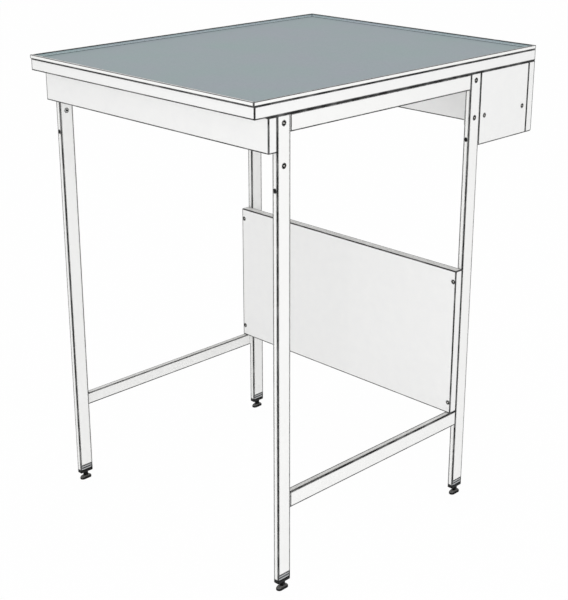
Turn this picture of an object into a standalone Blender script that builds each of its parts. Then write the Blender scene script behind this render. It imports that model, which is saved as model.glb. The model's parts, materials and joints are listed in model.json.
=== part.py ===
"""Free-standing laboratory bench: a board top with a raised rim on a four-legged steel frame, with a
service box behind the rear legs, a modesty panel and four screw-adjusted feet.
Metres, +Z up, the front at -Y, the floor at Z = 0 under the middle of the bench."""

import math

import bmesh
import bpy
from mathutils import Vector

for old in list(bpy.data.objects):
    bpy.data.objects.remove(old, do_unlink=True)

# Overall size
WIDTH = 0.600
DEPTH = 0.750
HEIGHT = 0.900

# Gap left between pieces that touch
GAP = 0.0003

# Worktop: a board, a mitred rim on its edge, and a sheet with a coved lip inside the rim
BOARD_THICK = 0.022
RIM_RISE = 0.007
FRONT_LIP = 0.002
STRIP_THICK = 0.003
SHEET_THICK = 0.0012
LIP_THICK = 0.0012
LIP_DROP = 0.0005
COVE_RADIUS = 0.003

# Frame: flat tube legs, steel angle between them
LEG_DEEP = 0.030
LEG_THICK = 0.012
LEG_WALL = 0.0015
LEG_RADIUS = 0.0015
ANGLE_HEIGHT = 0.030
ANGLE_THICK = 0.002
STRETCHER_TOP = 0.192

# Boards on the frame
PANEL_THICK = 0.019
APRON_SETBACK = 0.030
APRON_HEIGHT = 0.060
MODESTY_HEIGHT = 0.300
SERVICE_DEPTH = 0.170
SERVICE_HEIGHT = 0.139
REAR_EDGE_RADIUS = 0.004
BOARD_EDGE = 0.0008

# Brackets and fixing places
BRACKET_LEG = 0.030
BRACKET_SET_IN = 0.002
UPPER_BOLT_DROP = 0.014
LOWER_BOLT_DROP = 0.084
FRONT_HOLE_DROP = 0.1242
FRONT_HOLE_RADIUS = 0.0025
MODESTY_SCREW_INSET = 0.0225
SERVICE_SCREW_EDGE = 0.0155

# Countersunk fasteners
HEAD_RADIUS = 0.0032
SHAFT_RADIUS = 0.0020
CONE_DEPTH = 0.0018
SOCKET_RADIUS = 0.0013
SOCKET_DEPTH = 0.0012
PAST_END = 0.0012
SCREW_BITE = 0.006

# Feet, from the floor up
PAD_FLOOR = 0.0010
PAD_LENGTH = 0.026
PAD_SIDE = 0.0025
MOUTH_DEPTH = 0.0006
COLLAR_HEIGHT = 0.0080
COLLAR_STOP = 0.0005
FLANGE_THICK = 0.006
NOTCH_HEIGHT = 0.0106
PLUG_INSERT = 0.024
STUD_LENGTH = 0.036
RIB_COUNT = 2

# Shares that shape the foot: an M6 stud fills half of the tube's thickness
STUD_SHARE = 0.25
BALL_SHARE = 0.95
NECK_SHARE = 0.62
COLLAR_SHARE = 3.33
CHAMFER_SHARE = 0.25
GROOVE_SHARE = 0.3
EASE_SHARE = 0.14
ROUND_END = 0.96
CROWN_X_SHARE = 1.85
CROWN_Y_SHARE = 2.3
DOME_STEPS = ((0.12, 0.38), (0.45, 0.76), (1.0, 1.0))
BALL_TURNS = (-75, -50, -25, 0, 25)
NUT_SHARE = 0.4

# Facets: points round a loft, points round a fastener, steps of a small arc
LOFT_STEPS = 5
LEG_STEPS = 2
FASTENER_POINTS = 12
ARC_STEPS = 5

# Planes that the pieces share
OUTER = WIDTH / 2
FRONT = -DEPTH / 2
BACK = DEPTH / 2
BOARD_TOP = HEIGHT - RIM_RISE
BOARD_UNDER = BOARD_TOP - BOARD_THICK
BOARD_FRONT = FRONT + FRONT_LIP
HUNG_TOP = BOARD_UNDER - GAP
APRON_FRONT = BOARD_FRONT + APRON_SETBACK
APRON_BACK = APRON_FRONT + PANEL_THICK
FRONT_LEG_Y = APRON_BACK + GAP + LEG_DEEP / 2
REAR_LEG_Y = BACK - SERVICE_DEPTH - LEG_DEEP / 2
LEG_X = OUTER - LEG_THICK / 2
LEG_INSIDE = OUTER - LEG_THICK
FITTING_X = LEG_INSIDE - GAP
SIDE_PANEL_THICK = LEG_THICK
REAR_PANEL_FRONT = BACK - PANEL_THICK
SERVICE_BOTTOM = BOARD_UNDER - SERVICE_HEIGHT
UPPER_BOLT_Z = BOARD_UNDER - UPPER_BOLT_DROP
LOWER_BOLT_Z = BOARD_UNDER - LOWER_BOLT_DROP
RUN_START = FRONT_LEG_Y + LEG_DEEP / 2 + GAP
RUN_END = REAR_LEG_Y - LEG_DEEP / 2 - GAP
MODESTY_BACK = RUN_END
MODESTY_BOTTOM = STRETCHER_TOP + GAP
MODESTY_TOP = MODESTY_BOTTOM + MODESTY_HEIGHT

# Radii and heights in a foot
STUD_RADIUS = LEG_THICK * STUD_SHARE
BORE_RADIUS = STUD_RADIUS + GAP
BALL_RADIUS = STUD_RADIUS * BALL_SHARE
NECK_RADIUS = STUD_RADIUS * NECK_SHARE
COLLAR_FLATS = STUD_RADIUS * COLLAR_SHARE
SOCKET_BALL = BALL_RADIUS + GAP
MOUTH_RADIUS = NECK_RADIUS + GAP
NECK_REACH = math.sqrt(BALL_RADIUS**2 - NECK_RADIUS**2)
MOUTH_REACH = math.sqrt(SOCKET_BALL**2 - MOUTH_RADIUS**2)
BALL_Z = PAD_FLOOR + SOCKET_BALL
PAD_HEIGHT = BALL_Z + MOUTH_REACH + MOUTH_DEPTH
FLANGE_BOTTOM = PAD_HEIGHT + GAP + COLLAR_HEIGHT + COLLAR_STOP
FLANGE_TOP = FLANGE_BOTTOM + FLANGE_THICK
LEG_BOTTOM = FLANGE_TOP + GAP
NOTCH_TOP = FLANGE_TOP + NOTCH_HEIGHT
PLUG_TOP = NOTCH_TOP + PLUG_INSERT

SIDES = (("left", -1), ("right", 1))
ENDS = (("front", FRONT_LEG_Y), ("rear", REAR_LEG_Y))
UP = Vector((0, 0, 1))


# Materials

def finish(name, grey, roughness, metallic=0.0):
    made = bpy.data.materials.new(name)
    made.use_nodes = True
    shader = made.node_tree.nodes["Principled BSDF"]
    shader.inputs["Base Color"].default_value = (*grey, 1.0)
    shader.inputs["Roughness"].default_value = roughness
    shader.inputs["Metallic"].default_value = metallic
    made.diffuse_color = (*grey, 1.0)
    return made


POWDER_COAT = finish("white_powder_coat", (0.82, 0.82, 0.82), 0.45)
BOARD_FACING = finish("white_board_facing", (0.84, 0.84, 0.84), 0.40)
EDGING = finish("white_edging", (0.86, 0.86, 0.86), 0.35)
RESIN_SHEET = finish("grey_resin_sheet", (0.30, 0.36, 0.38), 0.38)
ZINC = finish("zinc_plated_steel", (0.55, 0.56, 0.57), 0.35, 1.0)
DARK_STEEL = finish("blackened_steel", (0.06, 0.06, 0.065), 0.35, 1.0)
BLACK_PLASTIC = finish("black_plastic", (0.018, 0.018, 0.019), 0.50)
BLACK_RUBBER = finish("black_rubber", (0.014, 0.014, 0.015), 0.70)


# Meshes

def mesh_object(name, points, faces, material=None, smooth=False):
    """One object from points and faces, with its faces turned outward."""
    mesh = bpy.data.meshes.new(name)
    mesh.from_pydata([tuple(p) for p in points], [], faces)
    form = bmesh.new()
    form.from_mesh(mesh)
    bmesh.ops.recalc_face_normals(form, faces=form.faces)
    form.to_mesh(mesh)
    form.free()
    if smooth:
        mesh.shade_smooth()
        mesh.set_sharp_from_angle(angle=math.radians(32))
    if material:
        mesh.materials.append(material)
    made = bpy.data.objects.new(name, mesh)
    bpy.context.scene.collection.objects.link(made)
    return made


def prism(name, base, along, material):
    """A flat outline carried along a vector."""
    count = len(base)
    shift = Vector(along)
    points = [Vector(p) for p in base] + [Vector(p) + shift for p in base]
    faces = [tuple(range(count)), tuple(range(count, 2 * count))]
    for i in range(count):
        j = (i + 1) % count
        faces.append((i, j, count + j, count + i))
    return mesh_object(name, points, faces, material)


def skin(loops, ring=False):
    """Points and faces between loops of equal length, closed by caps or, as a ring, on itself."""
    count = len(loops[0])
    points = [Vector(p) for loop in loops for p in loop]
    spans = [(i, i + 1) for i in range(len(loops) - 1)]
    faces = []
    if ring:
        spans.append((len(loops) - 1, 0))
    else:
        faces.append(tuple(range(count)))
        faces.append(tuple(range(len(points) - count, len(points))))
    for a, b in spans:
        for i in range(count):
            j = (i + 1) % count
            faces.append((a * count + i, a * count + j, b * count + j, b * count + i))
    return points, faces


def loft(name, loops, material, ring=False):
    points, faces = skin(loops, ring)
    return mesh_object(name, points, faces, material, smooth=True)


def slab(name, low, high, material, edge=BOARD_EDGE):
    """A board between two corners, with its edges eased."""
    (x0, y0, z0), (x1, y1, z1) = low, high
    base = [(x0, y0, z0), (x1, y0, z0), (x1, y1, z0), (x0, y1, z0)]
    made = prism(name, base, (0, 0, z1 - z0), material)
    ease(made, edge)
    return made


def ease(piece, width):
    bevel = piece.modifiers.new("eased edges", "BEVEL")
    bevel.width = width
    bevel.segments = 2
    bevel.limit_method = "ANGLE"
    bevel.angle_limit = math.radians(40)


def rounded(half_x, half_y, radius, z, steps=LOFT_STEPS):
    """A rectangle with round corners, one group of points to each corner."""
    loop = []
    for corner, (sx, sy) in enumerate(((1, 1), (-1, 1), (-1, -1), (1, -1))):
        for step in range(steps + 1):
            angle = math.pi / 2 * (corner + step / steps)
            x = sx * (half_x - radius) + radius * math.cos(angle)
            y = sy * (half_y - radius) + radius * math.sin(angle)
            loop.append((x, y, z))
    return loop


def circle(radius, z, count=4 * (LOFT_STEPS + 1)):
    """A circle whose points are grouped as those of a rounded rectangle are."""
    turns = [2 * math.pi * (i + 0.5) / count for i in range(count)]
    return [(radius * math.cos(t), radius * math.sin(t), z) for t in turns]


def hexagon(flats, z, count=4 * (LOFT_STEPS + 1)):
    """A hexagon by its width over flats, with the same number of points as a circle."""
    loop = []
    for i in range(count):
        turn = 2 * math.pi * (i + 0.5) / count
        off = (turn + math.pi / 6) % (math.pi / 3) - math.pi / 6
        reach = flats / 2 / math.cos(off)
        loop.append((reach * math.cos(turn), reach * math.sin(turn), z))
    return loop


def angle_outline(width, height, thick):
    """A steel angle's section: across from its heel, then down from its heel, heel rounded."""
    heel = [math.pi / 2 * i / ARC_STEPS for i in range(ARC_STEPS + 1)]
    outline = [(thick * (1 - math.cos(t)), thick * (1 - math.sin(t))) for t in heel]
    outline += [(width, 0), (width, thick), (thick, thick), (thick, height), (0, height)]
    return outline


# Holes, gathered for each piece and cut together at the end

holes = {}


def cut(piece, loops):
    holes.setdefault(piece.name, []).append(loops)


def cut_holes():
    """One hidden cutter for each piece, holding all of its holes, and one Boolean that takes them out."""
    for name, bodies in holes.items():
        points = []
        faces = []
        for loops in bodies:
            body_points, body_faces = skin(loops)
            start = len(points)
            points += body_points
            faces += [tuple(start + i for i in face) for face in body_faces]
        tool = mesh_object(name + "_holes", points, faces)
        tool.hide_render = True
        tool.display_type = "WIRE"
        step = bpy.data.objects[name].modifiers.new("holes", "BOOLEAN")
        step.operation = "DIFFERENCE"
        step.solver = "EXACT"
        step.object = tool


def spun(profile, at, outward):
    """World loops of a round hole: radius and height along the outward direction at each loop."""
    turn = UP.rotation_difference(Vector(outward))
    rings = [circle(r, h, FASTENER_POINTS) for r, h in profile]
    return [[Vector(at) + turn @ Vector(p) for p in ring] for ring in rings]


def fasten(name, at, outward, length, pieces, hole_depth=None):
    """A countersunk fastener with its head in the face at this place, and its hole through these pieces."""
    profile = [
        (SOCKET_RADIUS, -SOCKET_DEPTH),
        (SOCKET_RADIUS, -GAP / 3),
        (HEAD_RADIUS - GAP, -GAP / 3),
        (HEAD_RADIUS, -GAP),
        (SHAFT_RADIUS, -CONE_DEPTH),
        (SHAFT_RADIUS, PAST_END / 2 - length),
        (SHAFT_RADIUS / 2, -length),
    ]
    made = loft(name, [circle(r, h, FASTENER_POINTS) for r, h in profile], DARK_STEEL)
    made.location = at
    made.rotation_mode = "QUATERNION"
    made.rotation_quaternion = UP.rotation_difference(Vector(outward))
    hole = [
        (HEAD_RADIUS + GAP, HEAD_RADIUS),
        (HEAD_RADIUS + GAP, -GAP),
        (SHAFT_RADIUS + GAP, -CONE_DEPTH),
        (SHAFT_RADIUS + GAP, -(hole_depth or length + PAST_END)),
    ]
    for piece in pieces:
        cut(piece, spun(hole, at, outward))


# Worktop

slab(
    "worktop_board",
    (-OUTER, BOARD_FRONT, BOARD_UNDER),
    (OUTER, BACK, BOARD_TOP),
    BOARD_FACING,
)

rim_bottom = BOARD_TOP + GAP
rim_height = HEIGHT - rim_bottom
strip_inside_x = OUTER - STRIP_THICK
strip_inside_front = BOARD_FRONT + STRIP_THICK
strip_inside_back = BACK - STRIP_THICK
mitre_gap = GAP * math.sqrt(2)
for end, outside_y, inside_y in (
    ("front", FRONT, strip_inside_front),
    ("rear", BACK, strip_inside_back),
):
    long_side = OUTER - mitre_gap
    short_side = strip_inside_x - mitre_gap
    outline = [
        (-long_side, outside_y, rim_bottom),
        (long_side, outside_y, rim_bottom),
        (short_side, inside_y, rim_bottom),
        (-short_side, inside_y, rim_bottom),
    ]
    ease(prism(end + "_edge_strip", outline, (0, 0, rim_height), EDGING), GAP)
for side, sign in SIDES:
    outline = [
        (sign * OUTER, FRONT, rim_bottom),
        (sign * OUTER, BACK, rim_bottom),
        (sign * strip_inside_x, strip_inside_back, rim_bottom),
        (sign * strip_inside_x, strip_inside_front, rim_bottom),
    ]
    ease(prism(side + "_edge_strip", outline, (0, 0, rim_height), EDGING), GAP)

lip_foot = LIP_THICK + COVE_RADIUS
sheet_top = rim_bottom + SHEET_THICK
lip_x = strip_inside_x - GAP
lip_front = strip_inside_front + GAP
lip_back = strip_inside_back - GAP
lip_section = [(0, rim_bottom), (lip_foot, rim_bottom)]
for i in range(ARC_STEPS + 1):
    angle = math.pi / 2 * i / ARC_STEPS
    across = lip_foot - COVE_RADIUS * math.sin(angle)
    lip_section.append((across, sheet_top + COVE_RADIUS * (1 - math.cos(angle))))
lip_section += [(LIP_THICK, HEIGHT - LIP_DROP), (0, HEIGHT - LIP_DROP)]
lip_loops = []
for sx, y, sy in ((1, lip_front, 1), (1, lip_back, -1), (-1, lip_back, -1), (-1, lip_front, 1)):
    lip_loops.append([(sx * (lip_x - u), y + sy * u, z) for u, z in lip_section])
loft("coved_lip", lip_loops, RESIN_SHEET, ring=True)

sheet_x = lip_x - lip_foot - GAP
sheet_front = lip_front + lip_foot + GAP
sheet_back = lip_back - lip_foot - GAP
slab(
    "work_surface",
    (-sheet_x, sheet_front, rim_bottom),
    (sheet_x, sheet_back, sheet_top),
    RESIN_SHEET,
    GAP / 2,
)

# Legs, each with its foot's notch and the open hole in its front face

legs = {}
for end, leg_y in ENDS:
    for side, sign in SIDES:
        label = end + "_" + side
        half_x = LEG_THICK / 2
        half_y = LEG_DEEP / 2
        inner_x = half_x - LEG_WALL
        inner_y = half_y - LEG_WALL
        leg = loft(
            label + "_leg",
            [
                rounded(half_x, half_y, LEG_RADIUS, LEG_BOTTOM, LEG_STEPS),
                rounded(half_x, half_y, LEG_RADIUS, HUNG_TOP, LEG_STEPS),
                rounded(inner_x, inner_y, GAP, HUNG_TOP, LEG_STEPS),
                rounded(inner_x, inner_y, GAP, LEG_BOTTOM, LEG_STEPS),
            ],
            POWDER_COAT,
            ring=True,
        )
        leg.location = (sign * LEG_X, leg_y, 0)
        legs[label] = leg
        notch_low = rounded(LEG_THICK, inner_y - GAP, GAP, LEG_BOTTOM - LEG_WALL, LEG_STEPS)
        notch_high = rounded(LEG_THICK, inner_y - GAP, GAP, NOTCH_TOP, LEG_STEPS)
        cut(leg, [[leg.location + Vector(p) for p in loop] for loop in (notch_low, notch_high)])
        face = (sign * LEG_X, leg_y - half_y, BOARD_UNDER - FRONT_HOLE_DROP)
        bored = [(FRONT_HOLE_RADIUS, LEG_WALL), (FRONT_HOLE_RADIUS, -2 * LEG_WALL)]
        cut(leg, spun(bored, face, (0, -1, 0)))

# Steel angle: rails under the worktop and stretchers near the floor

section = angle_outline(LEG_THICK, ANGLE_HEIGHT, ANGLE_THICK)
for side, sign in SIDES:
    for label, top in (("top_rail", HUNG_TOP), ("stretcher", STRETCHER_TOP)):
        base = [(sign * (OUTER - u), RUN_START, top - v) for u, v in section]
        prism(side + "_" + label, base, (0, RUN_END - RUN_START, 0), POWDER_COAT)

# Boards on the frame

slab(
    "front_apron",
    (-OUTER, APRON_FRONT, BOARD_UNDER - APRON_HEIGHT),
    (OUTER, APRON_BACK, HUNG_TOP),
    BOARD_FACING,
)
modesty = slab(
    "modesty_panel",
    (-OUTER, MODESTY_BACK - PANEL_THICK, MODESTY_BOTTOM),
    (OUTER, MODESTY_BACK, MODESTY_TOP),
    BOARD_FACING,
)

# The rear panel's lower back edge is round
rear_outline = [(BACK, HUNG_TOP), (REAR_PANEL_FRONT, HUNG_TOP), (REAR_PANEL_FRONT, SERVICE_BOTTOM)]
for i in range(ARC_STEPS + 1):
    angle = math.pi / 2 * i / ARC_STEPS
    across = REAR_EDGE_RADIUS * (1 - math.sin(angle))
    rise = REAR_EDGE_RADIUS * (1 - math.cos(angle))
    rear_outline.append((BACK - across, SERVICE_BOTTOM + rise))
rear_base = [(-OUTER, y, z) for y, z in rear_outline]
ease(prism("rear_service_panel", rear_base, (WIDTH, 0, 0), BOARD_FACING), BOARD_EDGE)

service_panels = {}
for side, sign in SIDES:
    near, far = sorted((sign * OUTER, sign * (OUTER - SIDE_PANEL_THICK)))
    service_panels[side] = slab(
        side + "_service_panel",
        (near, REAR_LEG_Y + LEG_DEEP / 2 + GAP, SERVICE_BOTTOM),
        (far, REAR_PANEL_FRONT - GAP, HUNG_TOP),
        BOARD_FACING,
    )

# Brackets and plates

bracket_section = angle_outline(BRACKET_LEG, BRACKET_LEG, ANGLE_THICK)
bracket_width = LEG_DEEP - 2 * BRACKET_SET_IN
brackets = {}
for end, leg_y in ENDS:
    for side, sign in SIDES:
        start = leg_y - bracket_width / 2
        base = [(sign * (FITTING_X - u), start, HUNG_TOP - v) for u, v in bracket_section]
        label = end + "_" + side
        brackets[label] = prism(label + "_worktop_bracket", base, (0, bracket_width, 0), ZINC)

front_screw_y = REAR_LEG_Y + LEG_DEEP / 2 + SERVICE_SCREW_EDGE
rear_screw_y = REAR_PANEL_FRONT - SERVICE_SCREW_EDGE
plates = {}
corners = {}
for side, sign in SIDES:
    near, far = sorted((sign * FITTING_X, sign * (FITTING_X - ANGLE_THICK)))
    plates[side] = slab(
        side + "_joining_plate",
        (near, REAR_LEG_Y - bracket_width / 2, LOWER_BOLT_Z - bracket_width / 2),
        (far, front_screw_y + bracket_width / 2, LOWER_BOLT_Z + bracket_width / 2),
        ZINC,
        GAP,
    )
    bottom = LOWER_BOLT_Z - bracket_width / 2
    corner_y = REAR_PANEL_FRONT - GAP
    base = [(sign * (FITTING_X - u), corner_y - v, bottom) for u, v in bracket_section]
    corners[side] = prism(side + "_corner_bracket", base, (0, 0, bracket_width), ZINC)
    middle = sign * WIDTH / 4
    base = [
        (middle - bracket_width / 2, APRON_BACK + GAP + u, HUNG_TOP - v)
        for u, v in bracket_section
    ]
    prism(side + "_apron_bracket", base, (bracket_width, 0, 0), ZINC)

# Bolts through the legs and screws through the boards

nut_flange = SHAFT_RADIUS / 2
nut_barrel = SHAFT_RADIUS + 3 * GAP
nut_depth = LEG_THICK * NUT_SHARE
bolt_length = LEG_THICK + GAP + ANGLE_THICK + PAST_END
for side, sign in SIDES:
    out = (sign, 0, 0)
    for end, leg_y in ENDS:
        label = end + "_" + side
        leg = legs[label]
        upper = (sign * OUTER, leg_y, UPPER_BOLT_Z)
        fasten(label + "_upper_bolt", upper, out, bolt_length, (leg, brackets[label]))
        lower = (sign * OUTER, leg_y, LOWER_BOLT_Z)
        if end == "rear":
            fasten(label + "_lower_bolt", lower, out, bolt_length, (leg, plates[side]))
        else:
            fasten(label + "_lower_bolt", lower, out, bolt_length, (leg,), LEG_THICK / 2)
    for place, screw_y, fitting in (
        ("fore", front_screw_y, plates[side]),
        ("aft", rear_screw_y, corners[side]),
    ):
        at = (sign * OUTER, screw_y, LOWER_BOLT_Z)
        length = SIDE_PANEL_THICK + GAP + ANGLE_THICK + PAST_END
        held = (service_panels[side], fitting)
        fasten(f"{side}_service_screw_{place}", at, out, length, held)
    for place, screw_z in (
        ("upper", MODESTY_TOP - MODESTY_SCREW_INSET),
        ("lower", MODESTY_BOTTOM + MODESTY_SCREW_INSET),
    ):
        at = (sign * LEG_X, MODESTY_BACK - PANEL_THICK, screw_z)
        held = (modesty, legs["rear_" + side])
        fasten(f"{side}_modesty_screw_{place}", at, (0, -1, 0), PANEL_THICK + SCREW_BITE, held)

    # The front leg's lower bolt has nothing behind the leg, so it ends in a rivet nut
    at = (sign * FITTING_X, FRONT_LEG_Y, LOWER_BOLT_Z)
    inward = (-sign, 0, 0)
    bore = SHAFT_RADIUS + GAP
    nut_section = [
        (bore, nut_flange),
        (HEAD_RADIUS + GAP, nut_flange),
        (HEAD_RADIUS + 2 * GAP, 0),
        (nut_barrel, 0),
        (nut_barrel, -nut_depth),
        (bore, -nut_depth),
    ]
    nut_loops = [circle(r, h, FASTENER_POINTS) for r, h in nut_section]
    nut = loft(f"front_{side}_rivet_nut", nut_loops, ZINC, ring=True)
    nut.location = at
    nut.rotation_mode = "QUATERNION"
    nut.rotation_quaternion = UP.rotation_difference(Vector(inward))
    clear = [(nut_barrel + GAP, LEG_WALL), (nut_barrel + GAP, -nut_depth)]
    cut(legs["front_" + side], spun(clear, at, inward))

# Feet: a ribbed plug in the tube, a hexagon-collared stud in the plug, a pad on the stud's ball

core_x = LEG_THICK / 2 - LEG_WALL - GAP
core_y = LEG_DEEP / 2 - LEG_WALL - GAP
rib_x = LEG_THICK / 2 - GAP
rib_y = core_y - GAP
rib_pitch = NOTCH_HEIGHT / RIB_COUNT
half_groove = rib_pitch * GROOVE_SHARE / 2
flange_ease = LEG_RADIUS * GROOVE_SHARE
plug_loops = [
    rounded(LEG_THICK / 2 - LEG_RADIUS, LEG_DEEP / 2 - LEG_RADIUS, LEG_RADIUS, FLANGE_BOTTOM),
    rounded(
        LEG_THICK / 2 - flange_ease,
        LEG_DEEP / 2 - flange_ease,
        LEG_RADIUS,
        FLANGE_BOTTOM + flange_ease,
    ),
    rounded(LEG_THICK / 2, LEG_DEEP / 2, LEG_RADIUS, FLANGE_BOTTOM + LEG_RADIUS),
    rounded(LEG_THICK / 2, LEG_DEEP / 2, LEG_RADIUS, FLANGE_TOP),
    rounded(core_x, core_y, LEG_RADIUS, FLANGE_TOP),
]
for rib in range(RIB_COUNT):
    rib_low = FLANGE_TOP + rib * rib_pitch + half_groove
    rib_high = FLANGE_TOP + (rib + 1) * rib_pitch - half_groove
    plug_loops += [
        rounded(core_x, core_y, LEG_RADIUS, rib_low),
        rounded(rib_x, rib_y, LEG_RADIUS, rib_low),
        rounded(rib_x, rib_y, LEG_RADIUS, rib_high),
        rounded(core_x, core_y, LEG_RADIUS, rib_high),
    ]
plug_loops += [
    rounded(core_x, core_y, LEG_RADIUS, PLUG_TOP - LEG_RADIUS),
    rounded(core_x - GAP, core_y - LEG_RADIUS, LEG_RADIUS, PLUG_TOP),
    circle(BORE_RADIUS, PLUG_TOP),
    circle(BORE_RADIUS, FLANGE_BOTTOM),
]

collar_bottom = PAD_HEIGHT + GAP
collar_top = collar_bottom + COLLAR_HEIGHT
stud_top = collar_top + STUD_LENGTH
stud_chamfer = STUD_RADIUS * CHAMFER_SHARE
stud_loops = []
for degrees in BALL_TURNS:
    turn = math.radians(degrees)
    stud_loops.append(circle(BALL_RADIUS * math.cos(turn), BALL_Z + BALL_RADIUS * math.sin(turn)))
stud_loops += [
    circle(NECK_RADIUS, BALL_Z + NECK_REACH),
    circle(NECK_RADIUS, collar_bottom),
    circle(COLLAR_FLATS / 2, collar_bottom),
    hexagon(COLLAR_FLATS, collar_bottom + stud_chamfer),
    hexagon(COLLAR_FLATS, collar_top - stud_chamfer),
    circle(COLLAR_FLATS / 2, collar_top),
    circle(STUD_RADIUS, collar_top),
    circle(STUD_RADIUS, stud_top - stud_chamfer),
    circle(STUD_RADIUS - stud_chamfer, stud_top),
]

pad_x = LEG_THICK / 2
pad_y = PAD_LENGTH / 2
dome_rise = PAD_HEIGHT - PAD_SIDE
crown_x = MOUTH_RADIUS * CROWN_X_SHARE
crown_y = MOUTH_RADIUS * CROWN_Y_SHARE
pad_ease = PAD_SIDE * EASE_SHARE
pad_loops = [
    rounded(pad_x - pad_ease, pad_y - pad_ease, (pad_x - pad_ease) * ROUND_END, 0),
    rounded(pad_x, pad_y, pad_x * ROUND_END, pad_ease),
    rounded(pad_x, pad_y, pad_x * ROUND_END, PAD_SIDE),
]
for share, height in DOME_STEPS:
    half_x = pad_x + (crown_x - pad_x) * share
    half_y = pad_y + (crown_y - pad_y) * share
    pad_loops.append(rounded(half_x, half_y, half_x * ROUND_END, PAD_SIDE + dome_rise * height))
pad_loops += [circle(MOUTH_RADIUS, PAD_HEIGHT), circle(MOUTH_RADIUS, BALL_Z + MOUTH_REACH)]
for degrees in reversed(BALL_TURNS):
    turn = math.radians(degrees)
    pad_loops.append(circle(SOCKET_BALL * math.cos(turn), BALL_Z + SOCKET_BALL * math.sin(turn)))

for end, leg_y in ENDS:
    for side, sign in SIDES:
        label = end + "_" + side
        axis = bpy.data.objects.new(label + "_foot_axis", None)
        axis.location = (sign * LEG_X, leg_y, 0)
        bpy.context.scene.collection.objects.link(axis)
        loft(label + "_leg_plug", plug_loops, BLACK_PLASTIC, ring=True).parent = axis
        loft(label + "_foot_stud", stud_loops, DARK_STEEL).parent = axis
        loft(label + "_foot_pad", pad_loops, BLACK_RUBBER).parent = axis

cut_holes()
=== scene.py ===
"""Looks of a free-standing laboratory bench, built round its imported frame: finishes for every solid,
turned screws, hole plugs, weld beads, leg plugs with grip plates, threaded foot studs and moulded foot
pads, in a pale studio."""

import json
import math

import bmesh
import bpy
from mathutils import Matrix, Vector


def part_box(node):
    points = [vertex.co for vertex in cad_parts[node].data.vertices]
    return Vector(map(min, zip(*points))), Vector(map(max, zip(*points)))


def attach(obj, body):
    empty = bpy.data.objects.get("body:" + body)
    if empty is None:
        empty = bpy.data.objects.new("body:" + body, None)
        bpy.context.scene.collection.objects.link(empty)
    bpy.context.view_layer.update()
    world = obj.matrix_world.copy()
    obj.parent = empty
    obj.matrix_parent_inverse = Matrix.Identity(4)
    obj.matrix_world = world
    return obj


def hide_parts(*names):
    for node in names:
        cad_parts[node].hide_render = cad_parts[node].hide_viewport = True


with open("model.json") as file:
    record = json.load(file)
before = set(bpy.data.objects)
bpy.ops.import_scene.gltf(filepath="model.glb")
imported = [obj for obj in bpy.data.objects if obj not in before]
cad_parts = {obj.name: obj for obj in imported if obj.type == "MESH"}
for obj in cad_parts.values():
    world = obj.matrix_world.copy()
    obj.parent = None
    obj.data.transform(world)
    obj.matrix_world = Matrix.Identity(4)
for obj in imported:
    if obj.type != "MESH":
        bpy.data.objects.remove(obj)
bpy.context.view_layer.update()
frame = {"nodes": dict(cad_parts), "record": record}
nodes = frame["nodes"]
record = frame["record"]

MM = 0.001
SIDES = (("left", -1), ("right", 1))
ENDS = ("front", "rear")
FEET = [end + "_" + side for end in ENDS for side, sign in SIDES]

# Clearance between pieces that touch, as in the solids
GAP = 0.3 * MM

# Countersunk fasteners
HEAD_LAND = 0.3 * MM
HEAD_CONE = 1.8 * MM
HEAD_EDGE = 0.2 * MM
BOLT_RADIUS = 2.0 * MM
HEX_KEY = 2.5 * MM
KEY_DEPTH = 1.3 * MM
HEX_LOBE = 0.07

# Pan-head screws that hold the brackets to the boards
PAN_RADIUS = 3.4 * MM
PAN_HEIGHT = 2.2 * MM
PAN_SEAT = 0.05 * MM
PAN_RIM = 1.2 * MM
PAN_CROWN = 2.3 * MM
PAN_SHAFT = 1.7 * MM
PAN_LENGTH = 14.0 * MM
PAN_DRIVE = 3.2 * MM
PAN_DEPTH = 1.4 * MM
PAN_LOBE = 0.14
PAN_SPREAD = 14.0 * MM
PAN_FROM_HEEL = 19.0 * MM

# Snap-in plugs in the legs' front holes
CAP_DROP = 124.2 * MM
CAP_RADIUS = 2.75 * MM
CAP_HEIGHT = 0.8 * MM
CAP_RIM = 0.3 * MM
CAP_CROWN = 2.0 * MM
CAP_BARREL = 2.3 * MM
CAP_LENGTH = 5.0 * MM
CAP_DIMPLE = 0.8 * MM
CAP_DIMPLE_DEPTH = 0.2 * MM

# Weld beads inside the steel angles
BEAD_RADIUS = 1.5 * MM
BEAD_RIPPLE = 2.2 * MM
BEAD_SWELL = 0.1
RIPPLE_STEPS = 6
BEAD_SIDES = 12
BEAD_TURN_STEPS = 4
ANGLE_THICK = 2.0 * MM

# Foot studs
THREAD_PITCH = 1.0 * MM
THREAD_RADIUS = 3.0 * MM
THREAD_DEPTH = 0.55 * MM
COLLAR_FLATS = 10.0 * MM
COLLAR_HEIGHT = 8.0 * MM
COLLAR_CHAMFER = 0.8 * MM
NECK_RADIUS = 1.86 * MM
BALL_RADIUS = 2.85 * MM
BALL_LOW = -80

# Foot pads
PAD_FLOOR = 1.0 * MM
PAD_SIDE = 2.5 * MM
PAD_EASE = 0.5 * MM
CROWN_X = 4.0 * MM
CROWN_Y = 5.0 * MM
TREAD_DEPTH = 0.6 * MM
TREAD_RINGS = ((0.42, 0.50), (0.66, 0.74))
TREAD_SLOPE = 0.02

# Plugs in the leg ends, with grip plates round them
FLANGE_THICK = 6.0 * MM
FLANGE_EASE = 1.0 * MM
LEG_WALL = 1.5 * MM
LEG_RADIUS = 1.5 * MM
NOTCH_HEIGHT = 10.6 * MM
PLATE_COUNT = 2
GROOVE_SHARE = 0.5
PLATE_EDGE = 0.4 * MM
PLATE_TURN_STEPS = 6
PLATE_EDGE_STEPS = 3


# Node trees

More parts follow.
